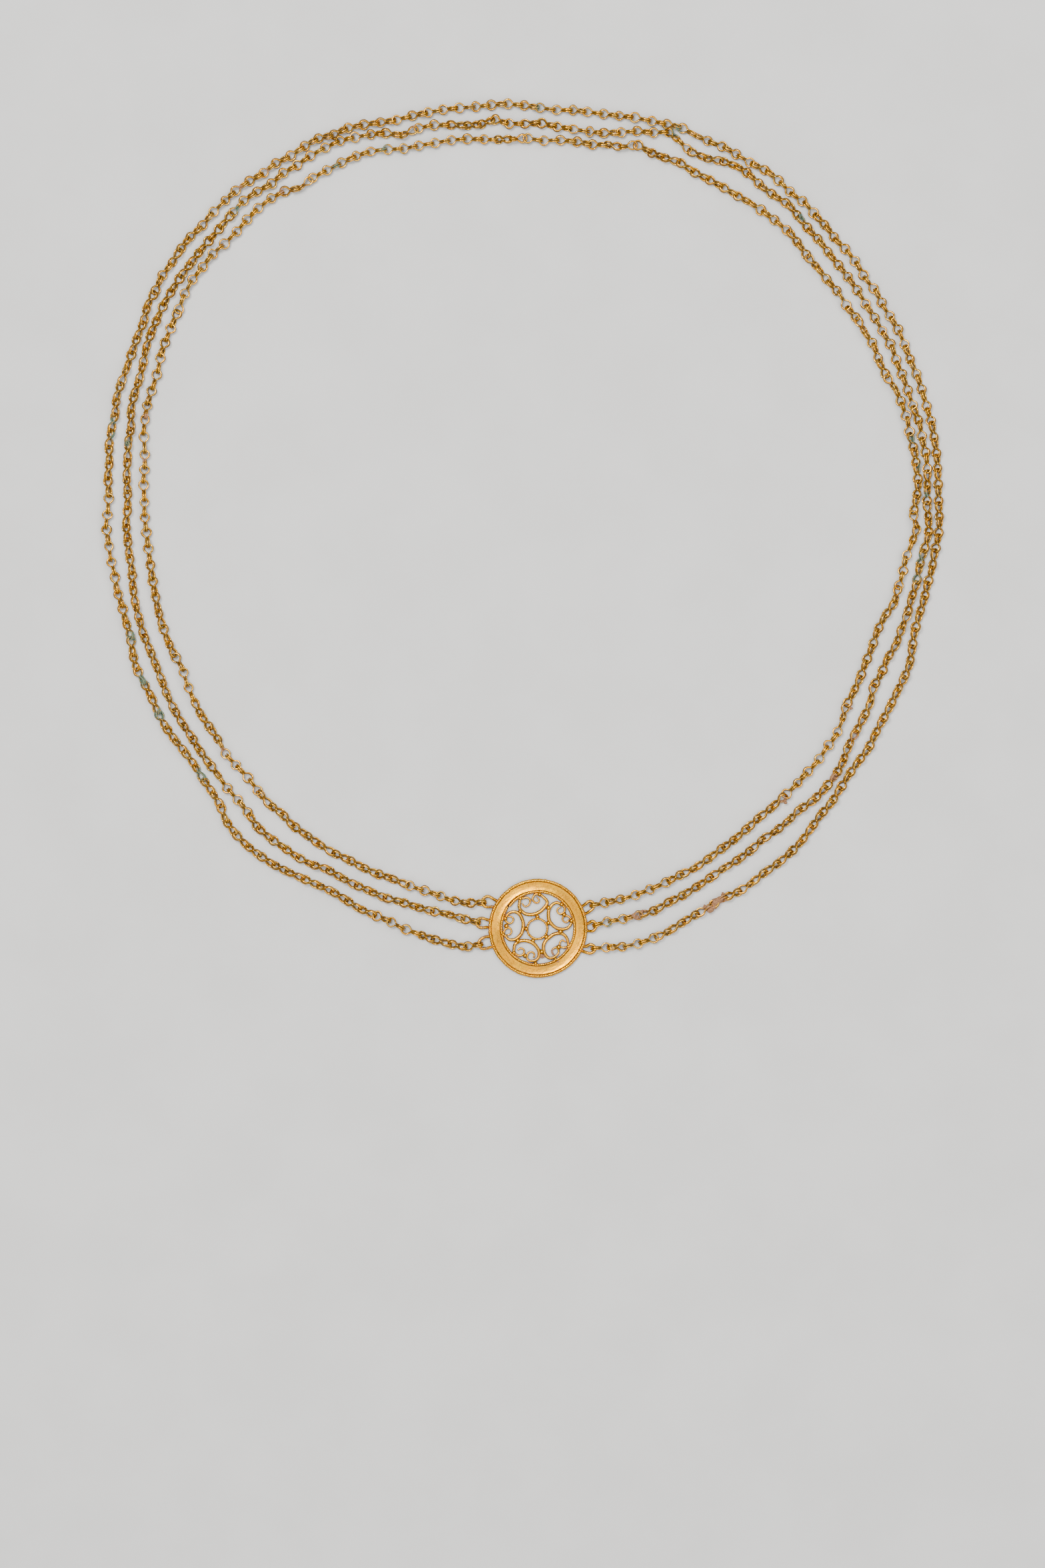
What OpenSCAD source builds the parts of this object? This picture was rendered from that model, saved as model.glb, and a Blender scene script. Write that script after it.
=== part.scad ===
// Medallion necklace: three loop-in-loop chains joined to a round openwork medallion, lying flat.
// Millimetres. X runs to the right, Y to the back of the neck, Z up; the medallion's flat back is
// at Z = 0, and the origin is the middle of the necklace's outline.

/* [Medallion] */
// Diameter of the medallion over its outer beaded wire
medallion_d = 17; // [16.5:0.1:17.5]
// Thickness of the plain band at its two edges
band_t = 0.5; // [0.4:0.05:0.6]
// Depth of the shallow dish in the band's face
band_dish = 0.08; // [0.02:0.02:0.2]
// Thickness of the beaded wire round the outside of the band
outer_wire_d = 0.58; // [0.5:0.02:0.64]
// Thickness of the beaded wire round the inside of the band
inner_wire_d = 0.5; // [0.44:0.02:0.56]
// Radius of the middle line of the inner beaded wire
inner_wire_r = 6.28; // [6.2:0.02:6.36]
// Radius of the middle line of the ring at the centre
centre_ring_r = 1.72; // [1.66:0.02:1.8]
// Thickness of the wire of the ring at the centre
centre_ring_d = 0.42; // [0.36:0.02:0.48]

/* [Scrolls] */
// Thickness of a scroll in the middle of its arc
scroll_d = 0.62; // [0.54:0.02:0.64]
// Thickness of a scroll at the ends of its arc, where the curls start
scroll_end_d = 0.46; // [0.42:0.02:0.5]
// Thickness of a curl at its tip
curl_tip_d = 0.3; // [0.28:0.02:0.36]
// Height of the scrolls' middle line over the medallion's back
scroll_z = 0.5; // [0.45:0.05:0.6]
// Height of the granules' centres over the medallion's back
granule_z = 0.62; // [0.55:0.01:0.7]

/* [Strand loops] */
// Thickness of the six loops that carry the strands
loop_wire_d = 0.52; // [0.48:0.02:0.54]
// Height of a loop's middle line where it is soldered to the band
loop_root_z = 0.32; // [0.3:0.02:0.36]
// Height of a loop's middle line at its far end, where a link hangs
loop_tip_z = 0.8; // [0.8:0.02:0.86]

/* [Chains] */
// Thickness of the wire of a chain link
link_wire_d = 0.28; // [0.24:0.02:0.28]
// Length of a link between the middle lines of its fold and its loops
link_l = 3.3; // [3.26:0.02:3.34]
// Distance from one link to the next
link_pitch = 2.72; // [2.7:0.01:2.76]
// Radius of the bend at the folded end of a link
fold_r = 0.62; // [0.6:0.01:0.64]
// Radius of the two round loops at the other end of a link
loop_r = 0.66; // [0.64:0.01:0.68]
// Thickness of a strand between its end links
strand_d = 1.5; // [1.3:0.05:1.5]

/* [Hidden] */
STRANDS = ["outer", "middle", "inner"];
END_LINKS = 2;
link_nodes = [for (s = STRANDS, side = ["right", "left"], i = [1 : END_LINKS])
    str(s, "_", side, "_link_", i)];

$fn = 48;
gold = "goldenrod";
bright_gold = "gold";

// Medallion: the rim. All places below are in a frame at the medallion's centre.
rim_r = medallion_d / 2;
outer_wire_r = rim_r - outer_wire_d / 2;
band_lap_outside = 0.05;
band_lap_inside = 0.12;
band_outer_r = outer_wire_r - band_lap_outside;
band_inner_r = inner_wire_r - band_lap_inside;
rim_wire_rise = 0.05;
rim_wire_z = band_t + rim_wire_rise;
centre_ring_at = [-0.1, -0.1];
wirework_h = loop_tip_z - loop_root_z + loop_wire_d;

// Sides of the wires and granules, and steps along them
wire_sides = 6;
link_wire_sides = 5;
strand_sides = 8;
granule_sides = 10;
outer_wire_steps = 64;
inner_wire_steps = 48;
centre_ring_steps = 24;
curve_steps = 2;
curl_steps = 10;

// The large arc of each scroll, from the shoulder where one curl starts to the other shoulder
SCROLL_ARCS = [
    [[-3, 5.1], [-3.25, 3.75], [-2.6, 2.8], [-1.3, 2.35], [0.3, 2.85], [1.4, 3.9], [1.5, 4.75], [0.3, 5.8]],
    [[4.05, 4.1], [3.1, 4.4], [2.2, 3.75], [1.8, 2.35], [2.3, 0.85], [3.9, -0.15], [5.4, 0.35], [5.75, 1.3]],
    [[5.2, -3.15], [5, -1.8], [3.8, -0.85], [2.35, -1.2], [1.1, -2.55], [1, -3.9], [1.9, -5.05], [2.9, -4.9],
        [3.55, -4.2]],
    [[-4.1, -4.2], [-4.05, -3], [-3, -2.2], [-1.5, -2.25], [-0.15, -3.3], [0.2, -4.5], [-0.2, -5.35],
        [-0.7, -5.5]],
    [[-5.6, 1.7], [-5.3, 2.3], [-4.4, 2.85], [-3.25, 2.5], [-2.6, 1.1], [-2.75, -0.7], [-3.95, -1.9],
        [-5.3, -1.65], [-5.95, -1.05]]];
// Each curl thins from just under the arc's end to its tip
curl_start_d = scroll_end_d - 0.01;
// Curls: start x, start y, eye x, eye y, first radius, last radius, first angle, last angle
CURLS = [
    [-3, 5.1, -2, 4.5, 0.78, 0.72, 100, -156],
    [0.3, 5.8, -0.35, 4.95, 0.76, 0.46, 110, 416],
    [4.05, 4.1, 3.9, 3.05, 0.76, 0.52, 46, -262],
    [5.75, 1.3, 4.75, 1.55, 0.68, 0.5, 20, 342],
    [5.2, -3.15, 4.3, -2.7, 0.64, 0.55, -83, -310],
    [3.55, -4.2, 2.85, -4.1, 0.7, 0.4, 10, 240],
    [-4.1, -4.2, -2.95, -4.05, 0.72, 0.6, -120, 142],
    [-0.7, -5.5, -1.2, -4.8, 0.86, 0.55, -65, -377],
    [-5.6, 1.7, -4.8, 1.45, 0.7, 0.58, -163, 118],
    [-5.95, -1.05, -5.1, -0.55, 0.66, 0.58, 172, -104]];
// Granules: x, y, radius
GRANULES = [
    [-0.1, 2, 0.34], [1.8, 0.95, 0.35], [1.45, -1.45, 0.41], [-0.85, -2.1, 0.33], [-2, -0.1, 0.35],
    [-3.05, 2.9, 0.34], [1.8, 3.5, 0.39], [3.85, -0.55, 0.42], [0.65, -4, 0.42], [-3.45, -2.1, 0.4],
    [-3, 5.1, 0.31], [0.3, 5.8, 0.33], [4.05, 4.1, 0.35], [5.75, 1.3, 0.37], [5.2, -3.15, 0.28],
    [3, -5.3, 0.28], [-0.4, -6, 0.31], [-4.1, -4.2, 0.31], [-5.95, -1.05, 0.34], [-5.6, 1.7, 0.36],
    [4.5, 2.35, 0.37], [3.55, -3.2, 0.38], [-2.2, -4.7, 0.35], [-5.4, 0.4, 0.39]];
// Strand loops: the wire's middle line from one root under the outer beaded wire to the other
STRAND_LOOPS = [
    [[7.15, 3.6], [7.85, 3.95], [8.8, 4.65], [9.45, 4.35], [9.5, 3.5], [8.45, 2.65], [7.65, 2.4]],
    [[7.95, 0.75], [8.55, 0.8], [9.4, 1.25], [10, 0.5], [9.5, -0.4], [8.65, -0.45], [8, -0.35]],
    [[7.4, -3.05], [8.2, -3.1], [9, -2.75], [9.65, -3.05], [9.75, -3.7], [9.2, -4.2], [8.5, -4.2],
        [7.1, -3.7]],
    [[-6.65, 4.45], [-7.4, 4.9], [-8.5, 5.5], [-9.35, 5.1], [-9.55, 4.35], [-8.95, 3.7], [-7.8, 3.7],
        [-7.2, 3.5]],
    [[-7.9, 1.35], [-8.45, 1.4], [-9.6, 1.75], [-10.4, 1.45], [-10.5, 0.7], [-9.9, 0.15], [-8.75, 0.2]],
    [[-7.9, -1.3], [-8.4, -1.4], [-9.15, -1.5], [-9.9, -1.95], [-10.15, -2.6], [-9.9, -3.2], [-9.3, -3.5],
        [-7.95, -3.2], [-7.4, -3]]];
// Radii between which a strand loop rises from the height of its roots to that of its far end
loop_rise_from = rim_r - 0.2;
loop_rise_to = rim_r + 0.9;

// Where each strand ends, on the right and on the left: x and y of the link's wire inside its loop,
// heading away from the medallion, change of heading from link to link, roll of the links about
// their length, and whether it is a link's fold that hangs on the loop or its two round loops
STRAND_ENDS = [
    [[9.1, -3.47, 5, -2, 8, "fold"], [-9.5, -2.55, 189, -9, 8, "fold"]],
    [[9.35, 0.45, 13, -1, 8, "fold"], [-9.8, 0.96, 168, 3, 62, "loops"]],
    [[8.9, 3.85, 10, 4, 8, "fold"], [-8.8, 4.55, 178, -5, 62, "loops"]]];
chain_z = loop_tip_z;
strand_z = strand_d / 2;
strand_gap = 0.2;

// Routes of the strands from their right end round the neck to their left end. They are read off
// a grid whose origin is left of and behind the necklace, with Y to the front, on which the
// medallion is 148.7 units across.
ROUTE_GRID_PER_MEDALLION = 148.7;
route_unit = medallion_d / ROUTE_GRID_PER_MEDALLION;
ROUTE_MEDALLION_AT = [807, 1392];
ROUTES = [
    [[1000, 1397], [1050, 1367], [1100, 1340], [1150, 1307], [1200, 1264], [1225, 1233], [1250, 1197],
        [1279, 1154], [1300, 1125], [1324, 1077], [1343, 1046], [1355, 1020], [1365, 991], [1374, 939],
        [1384, 905], [1391, 872], [1400, 840], [1407, 800], [1409, 750], [1406, 700], [1400, 650],
        [1387, 600], [1370, 550], [1349, 500], [1324, 455], [1300, 418], [1252, 356], [1203, 304],
        [1152, 261], [1101, 231], [1050, 207], [1000, 186], [950, 177], [900, 170], [850, 166],
        [800, 160], [750, 156], [700, 161], [650, 168], [600, 178], [550, 187], [500, 200], [450, 225],
        [400, 256], [350, 291], [294, 350], [255, 400], [228, 450], [209, 500], [190, 550], [177, 600],
        [168, 650], [164, 700], [162, 750], [162, 800], [169, 850], [180, 900], [193, 950], [205, 1000],
        [230, 1050], [255, 1100], [294, 1150], [327, 1200], [354, 1250], [400, 1290], [450, 1316],
        [500, 1338], [550, 1368], [600, 1389]],
    [[1000, 1356], [1050, 1325], [1100, 1294], [1150, 1254], [1200, 1216], [1225, 1193], [1250, 1168],
        [1264, 1140], [1279, 1106], [1299, 1068], [1310, 1035], [1331, 991], [1351, 944], [1369, 893],
        [1380, 843], [1391, 800], [1391, 750], [1389, 700], [1382, 650], [1367, 600], [1349, 550],
        [1327, 500], [1300, 459], [1275, 420], [1249, 388], [1197, 324], [1149, 284], [1100, 248],
        [1050, 235], [1030, 218], [1008, 205], [980, 200], [950, 198], [900, 198], [850, 193], [800, 186],
        [765, 187], [734, 184], [700, 188], [650, 189], [620, 200], [600, 203], [550, 203], [500, 217],
        [450, 244], [400, 279], [350, 320], [322, 350], [284, 400], [249, 450], [228, 500], [215, 550],
        [200, 600], [194, 650], [192, 700], [191, 750], [191, 800], [196, 850], [203, 900], [216, 950],
        [236, 1000], [255, 1050], [284, 1100], [318, 1150], [358, 1200], [399, 1250], [450, 1286],
        [500, 1308], [550, 1335], [600, 1353]],
    [[1000, 1321], [1050, 1295], [1100, 1259], [1150, 1216], [1200, 1171], [1250, 1110], [1265, 1075],
        [1276, 1050], [1288, 1020], [1300, 989], [1312, 960], [1331, 922], [1343, 893], [1352, 865],
        [1362, 830], [1372, 800], [1374, 750], [1374, 700], [1365, 650], [1352, 600], [1336, 569],
        [1317, 535], [1307, 514], [1284, 483], [1265, 450], [1247, 428], [1221, 395], [1195, 365],
        [1173, 343], [1150, 322], [1125, 306], [1100, 292], [1050, 263], [1000, 238], [950, 220],
        [900, 217], [850, 212], [800, 210], [750, 209], [700, 210], [650, 216], [600, 224], [550, 229],
        [500, 251], [450, 277], [400, 303], [349, 354], [304, 400], [275, 450], [254, 500], [239, 547],
        [223, 600], [218, 650], [217, 700], [216, 750], [220, 800], [227, 850], [236, 900], [248, 950],
        [271, 1000], [291, 1050], [320, 1100], [356, 1150], [401, 1200], [450, 1245], [500, 1278],
        [550, 1303], [600, 1322]]];

function heading(a) = [cos(a), sin(a)];
function on_level(p, z) = [p.x, p.y, z];
function unit(v) = v / norm(v);
function ramp(x, a, b) = max(0, min(1, (x - a) / (b - a)));

// A smooth curve through the points, with the given number of steps between each two
function curve_at(a, b, c, d, t) =
    (2 * b + (c - a) * t + (2 * a - 5 * b + 4 * c - d) * t * t + (3 * b - a - 3 * c + d) * t * t * t) / 2;
function curve(pts, steps) = let (last = len(pts) - 1) concat(
    [for (i = [0 : last - 1], s = [0 : steps - 1])
        curve_at(pts[max(i - 1, 0)], pts[i], pts[i + 1], pts[min(i + 2, last)], s / steps)],
    [pts[last]]);

// Tangents of a path, and normals that turn with it as little as they can. The first normal is
// as near to upright as the path allows, with a lean that keeps it off a path that starts upright.
UPRIGHT = [0.02, 0.01, 1];
function tangents(path, closed) = let (n = len(path)) [for (i = [0 : n - 1])
    unit(path[closed ? (i + 1) % n : min(i + 1, n - 1)] - path[closed ? (i + n - 1) % n : max(i - 1, 0)])];
function square_to(v, t) = unit(v - t * (v * t));
function normals(ts, first) = [for (i = 0, n = square_to(first, ts[0]); i < len(ts);
    n = square_to(n, ts[min(i + 1, len(ts) - 1)]), i = i + 1) n];

// The points of a round tube along a path, a ring of them at each of the path's points
function tube_points(path, radii, sides, closed) = let (
    ts = tangents(path, closed),
    ns = normals(ts, UPRIGHT))
    [for (i = [0 : len(path) - 1], k = [0 : sides - 1]) let (a = 360 * k / sides)
        path[i] + radii[i] * (cos(a) * ns[i] + sin(a) * cross(ts[i], ns[i]))];

module tube(path, radii, sides, closed = false) {
    rings = len(path);
    spans = closed ? rings : rings - 1;
    walls = [for (i = [0 : spans - 1], k = [0 : sides - 1]) let (
        a = i * sides + k,
        b = i * sides + (k + 1) % sides,
        c = (i + 1) % rings * sides + k,
        d = (i + 1) % rings * sides + (k + 1) % sides)
        each [[a, d, b], [a, c, d]]];
    caps = closed ? [] : [[for (k = [0 : sides - 1]) k], [for (k = [sides - 1 : -1 : 0]) spans * sides + k]];
    polyhedron(tube_points(path, radii, sides, closed), concat(walls, caps));
}

// Places of the end links and the middle lines of the strands between them
function link_heading(end, i) = end[2] + end[3] * i;
function link_place(end, i) = i == 0 ? [end[0], end[1]]
    : link_place(end, i - 1) + link_pitch * heading(link_heading(end, i - 1));
function past_links(end) = link_place(end, END_LINKS - 1)
    + (link_l + link_wire_d / 2 + strand_gap) * heading(link_heading(end, END_LINKS - 1));
function strand_line(s) = concat([past_links(STRAND_ENDS[s][0])],
    [for (p = ROUTES[s]) [p.x - ROUTE_MEDALLION_AT.x, ROUTE_MEDALLION_AT.y - p.y] * route_unit],
    [past_links(STRAND_ENDS[s][1])]);

// The middle of the necklace's outline, which is the origin
outline = [for (s = [0 : len(STRANDS) - 1]) each strand_line(s)];
outline_x = [for (p = outline) p.x];
outline_y = [for (p = outline) p.y];
medallion_at = -[max(outline_x) + min(outline_x), max(outline_y) + strand_d / 2 - rim_r] / 2;

module in_frame() {
    translate([medallion_at.x, medallion_at.y, 0]) children();
}

// The flat band, with its shallow dish
module band() {
    rotate_extrude() polygon([[band_inner_r, 0], [band_outer_r, 0], [band_outer_r, band_t],
        [(band_inner_r + band_outer_r) / 2, band_t - band_dish], [band_inner_r, band_t]]);
}

module wire_ring(r, d, z, steps) {
    rotate_extrude($fn = steps) translate([r, z]) circle(d = d, $fn = wire_sides);
}

// A scroll's arc, thickest in the middle, and a curl that winds in and thins towards its tip
module scroll_arc(points) {
    path = [for (p = curve(points, curve_steps)) on_level(p, scroll_z)];
    steps = len(path) - 1;
    radii = [for (i = [0 : steps]) (scroll_end_d + (scroll_d - scroll_end_d) * sin(180 * i / steps)) / 2];
    tube(path, radii, wire_sides);
}

module curl(row) {
    eye = [row[2], row[3]];
    path = concat([[row[0], row[1], scroll_z]], [for (i = [0 : curl_steps]) let (
        t = i / curl_steps,
        r = row[4] + (row[5] - row[4]) * t,
        a = row[6] + (row[7] - row[6]) * t)
        on_level(eye + r * heading(a), scroll_z)]);
    last = len(path) - 1;
    radii = [for (i = [0 : last]) (curl_start_d + (curl_tip_d - curl_start_d) * i / last) / 2];
    tube(path, radii, wire_sides);
}

module granules() {
    for (g = GRANULES) translate([g[0], g[1], granule_z]) sphere(r = g[2], $fn = granule_sides);
}

// A strand loop rises from its roots in the rim to its far end
module strand_loop(points) {
    path = [for (p = curve(points, curve_steps))
        on_level(p, loop_root_z + (loop_tip_z - loop_root_z) * ramp(norm(p), loop_rise_from, loop_rise_to))];
    tube(path, [for (p = path) loop_wire_d / 2], wire_sides);
}

// All the wire and granules, soldered into one piece and brought to its height from the underside
// of the strand loops' roots to the tops of their far ends
module wirework() {
    resize([0, 0, wirework_h]) union() {
        wire_ring(outer_wire_r, outer_wire_d, rim_wire_z, outer_wire_steps);
        wire_ring(inner_wire_r, inner_wire_d, rim_wire_z, inner_wire_steps);
        translate(on_level(centre_ring_at, 0))
            wire_ring(centre_ring_r, centre_ring_d, scroll_z, centre_ring_steps);
        for (a = SCROLL_ARCS) scroll_arc(a);
        for (c = CURLS) curl(c);
        granules();
        for (l = STRAND_LOOPS) strand_loop(l);
    }
}

module medallion() {
    color(gold) in_frame() union() {
        band();
        wirework();
    }
}

// A link is one ring of wire, pinched long and folded double. Its fold bends over from the upper
// loop to the lower one, its waist holds the four wires together, and its loops lie side by side.
// Half the distance between the two wires of a pair and between the two layers, at the waist
link_pair = link_wire_d / 2 + 0.02;
link_layer = link_wire_d / 2 + 0.015;
waist_share = 0.5;
FOLD_ANGLES = [0, 45, 90];
LOOP_ANGLES = [127, 78, 36, 0];
function quarter_link() = concat(
    [for (a = FOLD_ANGLES) [fold_r * (1 - cos(a)), link_pair, fold_r * sin(a)]],
    [[link_l * waist_share, link_pair, link_layer]],
    [for (a = LOOP_ANGLES) [link_l - loop_r * (1 - cos(a)), loop_r * sin(a), link_layer]]);
function mirrored(p, y, z) = [p.x, p.y * y, p.z * z];
function link_line() = let (q = quarter_link(), n = len(q) - 1) concat(
    [for (i = [0 : n - 1]) q[i]],
    [for (i = [n : -1 : 1]) mirrored(q[i], -1, 1)],
    [for (i = [0 : n - 1]) mirrored(q[i], -1, -1)],
    [for (i = [n : -1 : 1]) mirrored(q[i], 1, -1)]);

module link() {
    path = link_line();
    tube(path, [for (p = path) link_wire_d / 2], link_wire_sides, closed = true);
}

module end_link(s, side, i) {
    end = STRAND_ENDS[s][side];
    turned = end[5] == "loops";
    at = link_place(end, i) + (turned ? link_l : 0) * heading(link_heading(end, i));
    color(bright_gold) in_frame() translate(on_level(at, chain_z))
        rotate([end[4], 0, link_heading(end, i) + (turned ? 180 : 0)]) link();
}

module strand(s) {
    path = [for (p = strand_line(s)) on_level(p, strand_z)];
    color(gold) in_frame() tube(path, [for (p = path) strand_d / 2], strand_sides);
}

medallion();
for (s = [0 : len(STRANDS) - 1]) {
    strand(s);
}
for (s = [0 : len(STRANDS) - 1], side = [0, 1], i = [0 : END_LINKS - 1]) {
    end_link(s, side, i);
}
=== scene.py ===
"""Medallion necklace: three loop-in-loop gold chains on a round openwork medallion, lying flat.

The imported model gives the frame. The shapes below are in millimetres from the medallion's centre,
with X to the right, Y to the back of the neck and Z up. They turn into the frame's metres when a
mesh is made. Lights, camera, floor and the depths of bumps are in metres.
"""

import math

import bpy
import numpy as np
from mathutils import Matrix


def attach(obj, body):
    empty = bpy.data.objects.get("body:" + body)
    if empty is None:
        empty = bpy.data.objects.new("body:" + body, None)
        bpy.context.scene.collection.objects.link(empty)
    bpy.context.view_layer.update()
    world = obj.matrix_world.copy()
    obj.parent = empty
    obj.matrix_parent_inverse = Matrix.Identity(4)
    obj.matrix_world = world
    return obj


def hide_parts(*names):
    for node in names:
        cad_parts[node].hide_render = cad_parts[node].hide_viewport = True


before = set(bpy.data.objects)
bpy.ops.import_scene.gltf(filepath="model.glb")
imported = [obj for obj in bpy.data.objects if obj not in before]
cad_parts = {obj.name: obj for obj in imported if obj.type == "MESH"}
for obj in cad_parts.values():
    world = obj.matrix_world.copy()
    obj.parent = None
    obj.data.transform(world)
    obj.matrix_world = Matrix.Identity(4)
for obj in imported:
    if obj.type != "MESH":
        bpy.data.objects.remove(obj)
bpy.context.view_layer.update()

MM = 0.001
BODY = "root"
RNG = np.random.default_rng(7)


def medallion_centre():
    """The middle of the medallion's flat back, which is a ring on the floor."""
    at_floor = [v.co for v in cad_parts["medallion"].data.vertices if v.co.z < 1e-6]
    xs, ys = [c.x for c in at_floor], [c.y for c in at_floor]
    return np.array([min(xs) + max(xs), min(ys) + max(ys)]) / 2 / MM


CENTRE = np.append(medallion_centre(), 0.0)

# Sizes of the medallion, as in the solids or within 0.02 mm of them
RIM_R = 8.5
OUTER_WIRE_D, INNER_WIRE_D, CENTRE_RING_D = 0.58, 0.5, 0.42
OUTER_WIRE_R, INNER_WIRE_R, CENTRE_RING_R = RIM_R - OUTER_WIRE_D / 2, 6.28, 1.72
RIM_WIRE_Z = 0.55
CENTRE_RING_AT = (-0.1, -0.1)
BAND_T, BAND_DISH = 0.52, 0.08
SCROLL_Z, SCROLL_D, SCROLL_END_D, CURL_TIP_D = 0.5, 0.63, 0.46, 0.29
LOOP_WIRE_D, LOOP_ROOT_Z, LOOP_TIP_Z = 0.53, 0.32, 0.8
GRANULE_Z = 0.62
# A granule's height and the reach of its solder are shares of its radius
GRANULE_HEIGHT, SOLDER_REACH = 0.97, 1.13
SOLDER_Z, SOLDER_HALF_T = 0.52, 0.24

# The band is a strip between the beaded wires, on a plate that carries all three
BAND_INNER_R, BAND_OUTER_R, BAND_UNDER_Z = 6.52, 7.96, 0.3
PLATE_INNER_R, PLATE_OUTER_R, PLATE_T = INNER_WIRE_R - 0.12, OUTER_WIRE_R - 0.05, 0.34

# Sizes of a link. Its bends are wider than in the solids.
LINK_WIRE_D, LINK_L, LINK_PITCH = 0.29, 3.32, 2.76
HOOK = LINK_L - LINK_PITCH
FOLD_R, LOOP_R = 0.66, 0.77
# Half the distance between a pair's two wires, and between the layers at the waist and the tips
WAIST_PAIR, WAIST_LAYER, TIP_LAYER = 0.165, 0.165, 0.24
LINK_Z = LOOP_TIP_Z - 0.05

# How unevenly the links lie: off the strand's line, rolled in degrees, and a kink's reach along it
SWAY, ROLL_SPREAD, KINK_REACH = 0.12, 9, 1.3

# How finely shapes are cut: stations round the rim and along a link, a wire's sides, and the
# spacing of points along the middle lines
RIM_STATIONS, LINK_STATIONS = 480, 72
BEAD_SIDES, WIRE_SIDES, LINK_SIDES = 12, 14, 8
SCROLL_STEP, LOOP_STEP, LINK_STEP, LINE_STEP = 0.14, 0.12, 0.1, 0.25


# Curves and wire

def unit(v):
    return v / np.linalg.norm(v, axis=-1, keepdims=True)


def smooth_curve(points, spacing, closed=False):
    """Points at an even spacing along a smooth curve through the given ones."""
    p = np.asarray(points, float)
    count = len(p)
    spans = count if closed else count - 1
    t = np.linspace(0, 1, 12, endpoint=False)[:, None]
    dense = []
    for i in range(spans):
        if closed:
            a, b, c, d = (p[(i + k) % count] for k in (-1, 0, 1, 2))
        else:
            a, b, c, d = p[max(i - 1, 0)], p[i], p[i + 1], p[min(i + 2, count - 1)]
        dense.append((2 * b + (c - a) * t + (2 * a - 5 * b + 4 * c - d) * t ** 2
                      + (3 * b - a - 3 * c + d) * t ** 3) / 2)
    dense.append(p[:1] if closed else p[-1:])
    path = np.concatenate(dense)
    return even(path, max(2, round(lengths_along(path)[-1] / spacing)), closed)


def lengths_along(path):
    return np.append(0, np.cumsum(np.linalg.norm(np.diff(path, axis=0), axis=1)))


def even(path, steps, closed):
    """A path cut into even steps. A closed path comes in with its first point repeated and goes out
    without the repeat."""
    along = lengths_along(path)
    at = np.linspace(0, along[-1], steps + 1)
    out = np.stack([np.interp(at, along, path[:, k]) for k in range(path.shape[1])], axis=1)
    return out[:-1] if closed else out


def skin(rows, columns, closed):
    """Faces over rows of vertices, each row a ring. The last row joins the first, or else one face
    fills each end."""
    i, k = np.arange(rows if closed else rows - 1)[:, None], np.arange(columns)[None, :]
    j, m = (i + 1) % rows, (k + 1) % columns
    faces = np.stack([i * columns + k, i * columns + m, j * columns + m, j * columns + k], axis=-1)
    faces = faces.reshape(-1, 4).tolist()
    if not closed:
        faces += [list(range(columns))[::-1], [(rows - 1) * columns + q for q in range(columns)]]
    return faces


def wire(path, radius, sides, closed=False):
    """Vertices, faces, outward normals and station numbers of a round wire along a path, with a
    radius for each station."""
    n = len(path)
    tangent = unit(np.roll(path, -1, 0) - np.roll(path, 1, 0) if closed
                   else np.gradient(path, axis=0))
    normal = np.empty_like(path)
    last = np.array([0.02, 0.01, 1.0])
    for i in range(n):
        last = last - tangent[i] * last.dot(tangent[i])
        last /= math.sqrt(last.dot(last))
        normal[i] = last
    side = np.cross(tangent, normal)
    if closed:
        # What the sides have turned by the time the wire meets itself is spread along it
        end = unit(normal[-1] - tangent[0] * normal[-1].dot(tangent[0]))
        twist = math.atan2(end.dot(side[0]), end.dot(normal[0]))
        turn = (-twist * np.arange(n) / n)[:, None]
        normal, side = (np.cos(turn) * normal + np.sin(turn) * side,
                        np.cos(turn) * side - np.sin(turn) * normal)
    angle = 2 * np.pi * np.arange(sides) / sides
    out = (np.cos(angle)[None, :, None] * normal[:, None]
           + np.sin(angle)[None, :, None] * side[:, None])
    verts = path[:, None] + radius[:, None, None] * out
    stations = np.repeat(np.arange(n), sides)
    return verts.reshape(-1, 3), skin(n, sides, closed), out.reshape(-1, 3), stations


def rounded_ends(path, radius):
    """The path and radii with a half ball of stations added at both ends."""
    rise = np.radians([25, 50, 72, 86])
    for _ in range(2):
        path, radius = path[::-1], radius[::-1]
        out = unit(path[-1] - path[-2])
        path = np.concatenate([path, path[-1] + out * radius[-1] * np.sin(rise)[:, None]])
        radius = np.concatenate([radius, radius[-1] * np.cos(rise)])
    return path, radius


def wander(count, step, size):
    """Smooth random numbers, one a station, that turn over about every step stations."""
    knots = RNG.normal(0, size, max(4, int(count / step) + 3))
    return np.interp(np.linspace(0, len(knots) - 1, count), np.arange(len(knots)), knots)


def ball(radius, rings, sides):
    """Vertices and faces of a ball about the origin."""
    lat = np.linspace(-math.pi / 2, math.pi / 2, rings + 1)
    a = 2 * np.pi * np.arange(sides) / sides
    r = radius * np.maximum(np.cos(lat), 0.02)
    z = np.repeat(radius * np.sin(lat)[:, None], sides, axis=1)
    verts = np.stack([np.outer(r, np.cos(a)), np.outer(r, np.sin(a)), z], axis=-1)
    return verts.reshape(-1, 3), skin(rings + 1, sides, closed=False)


# Meshes and pieces

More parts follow.
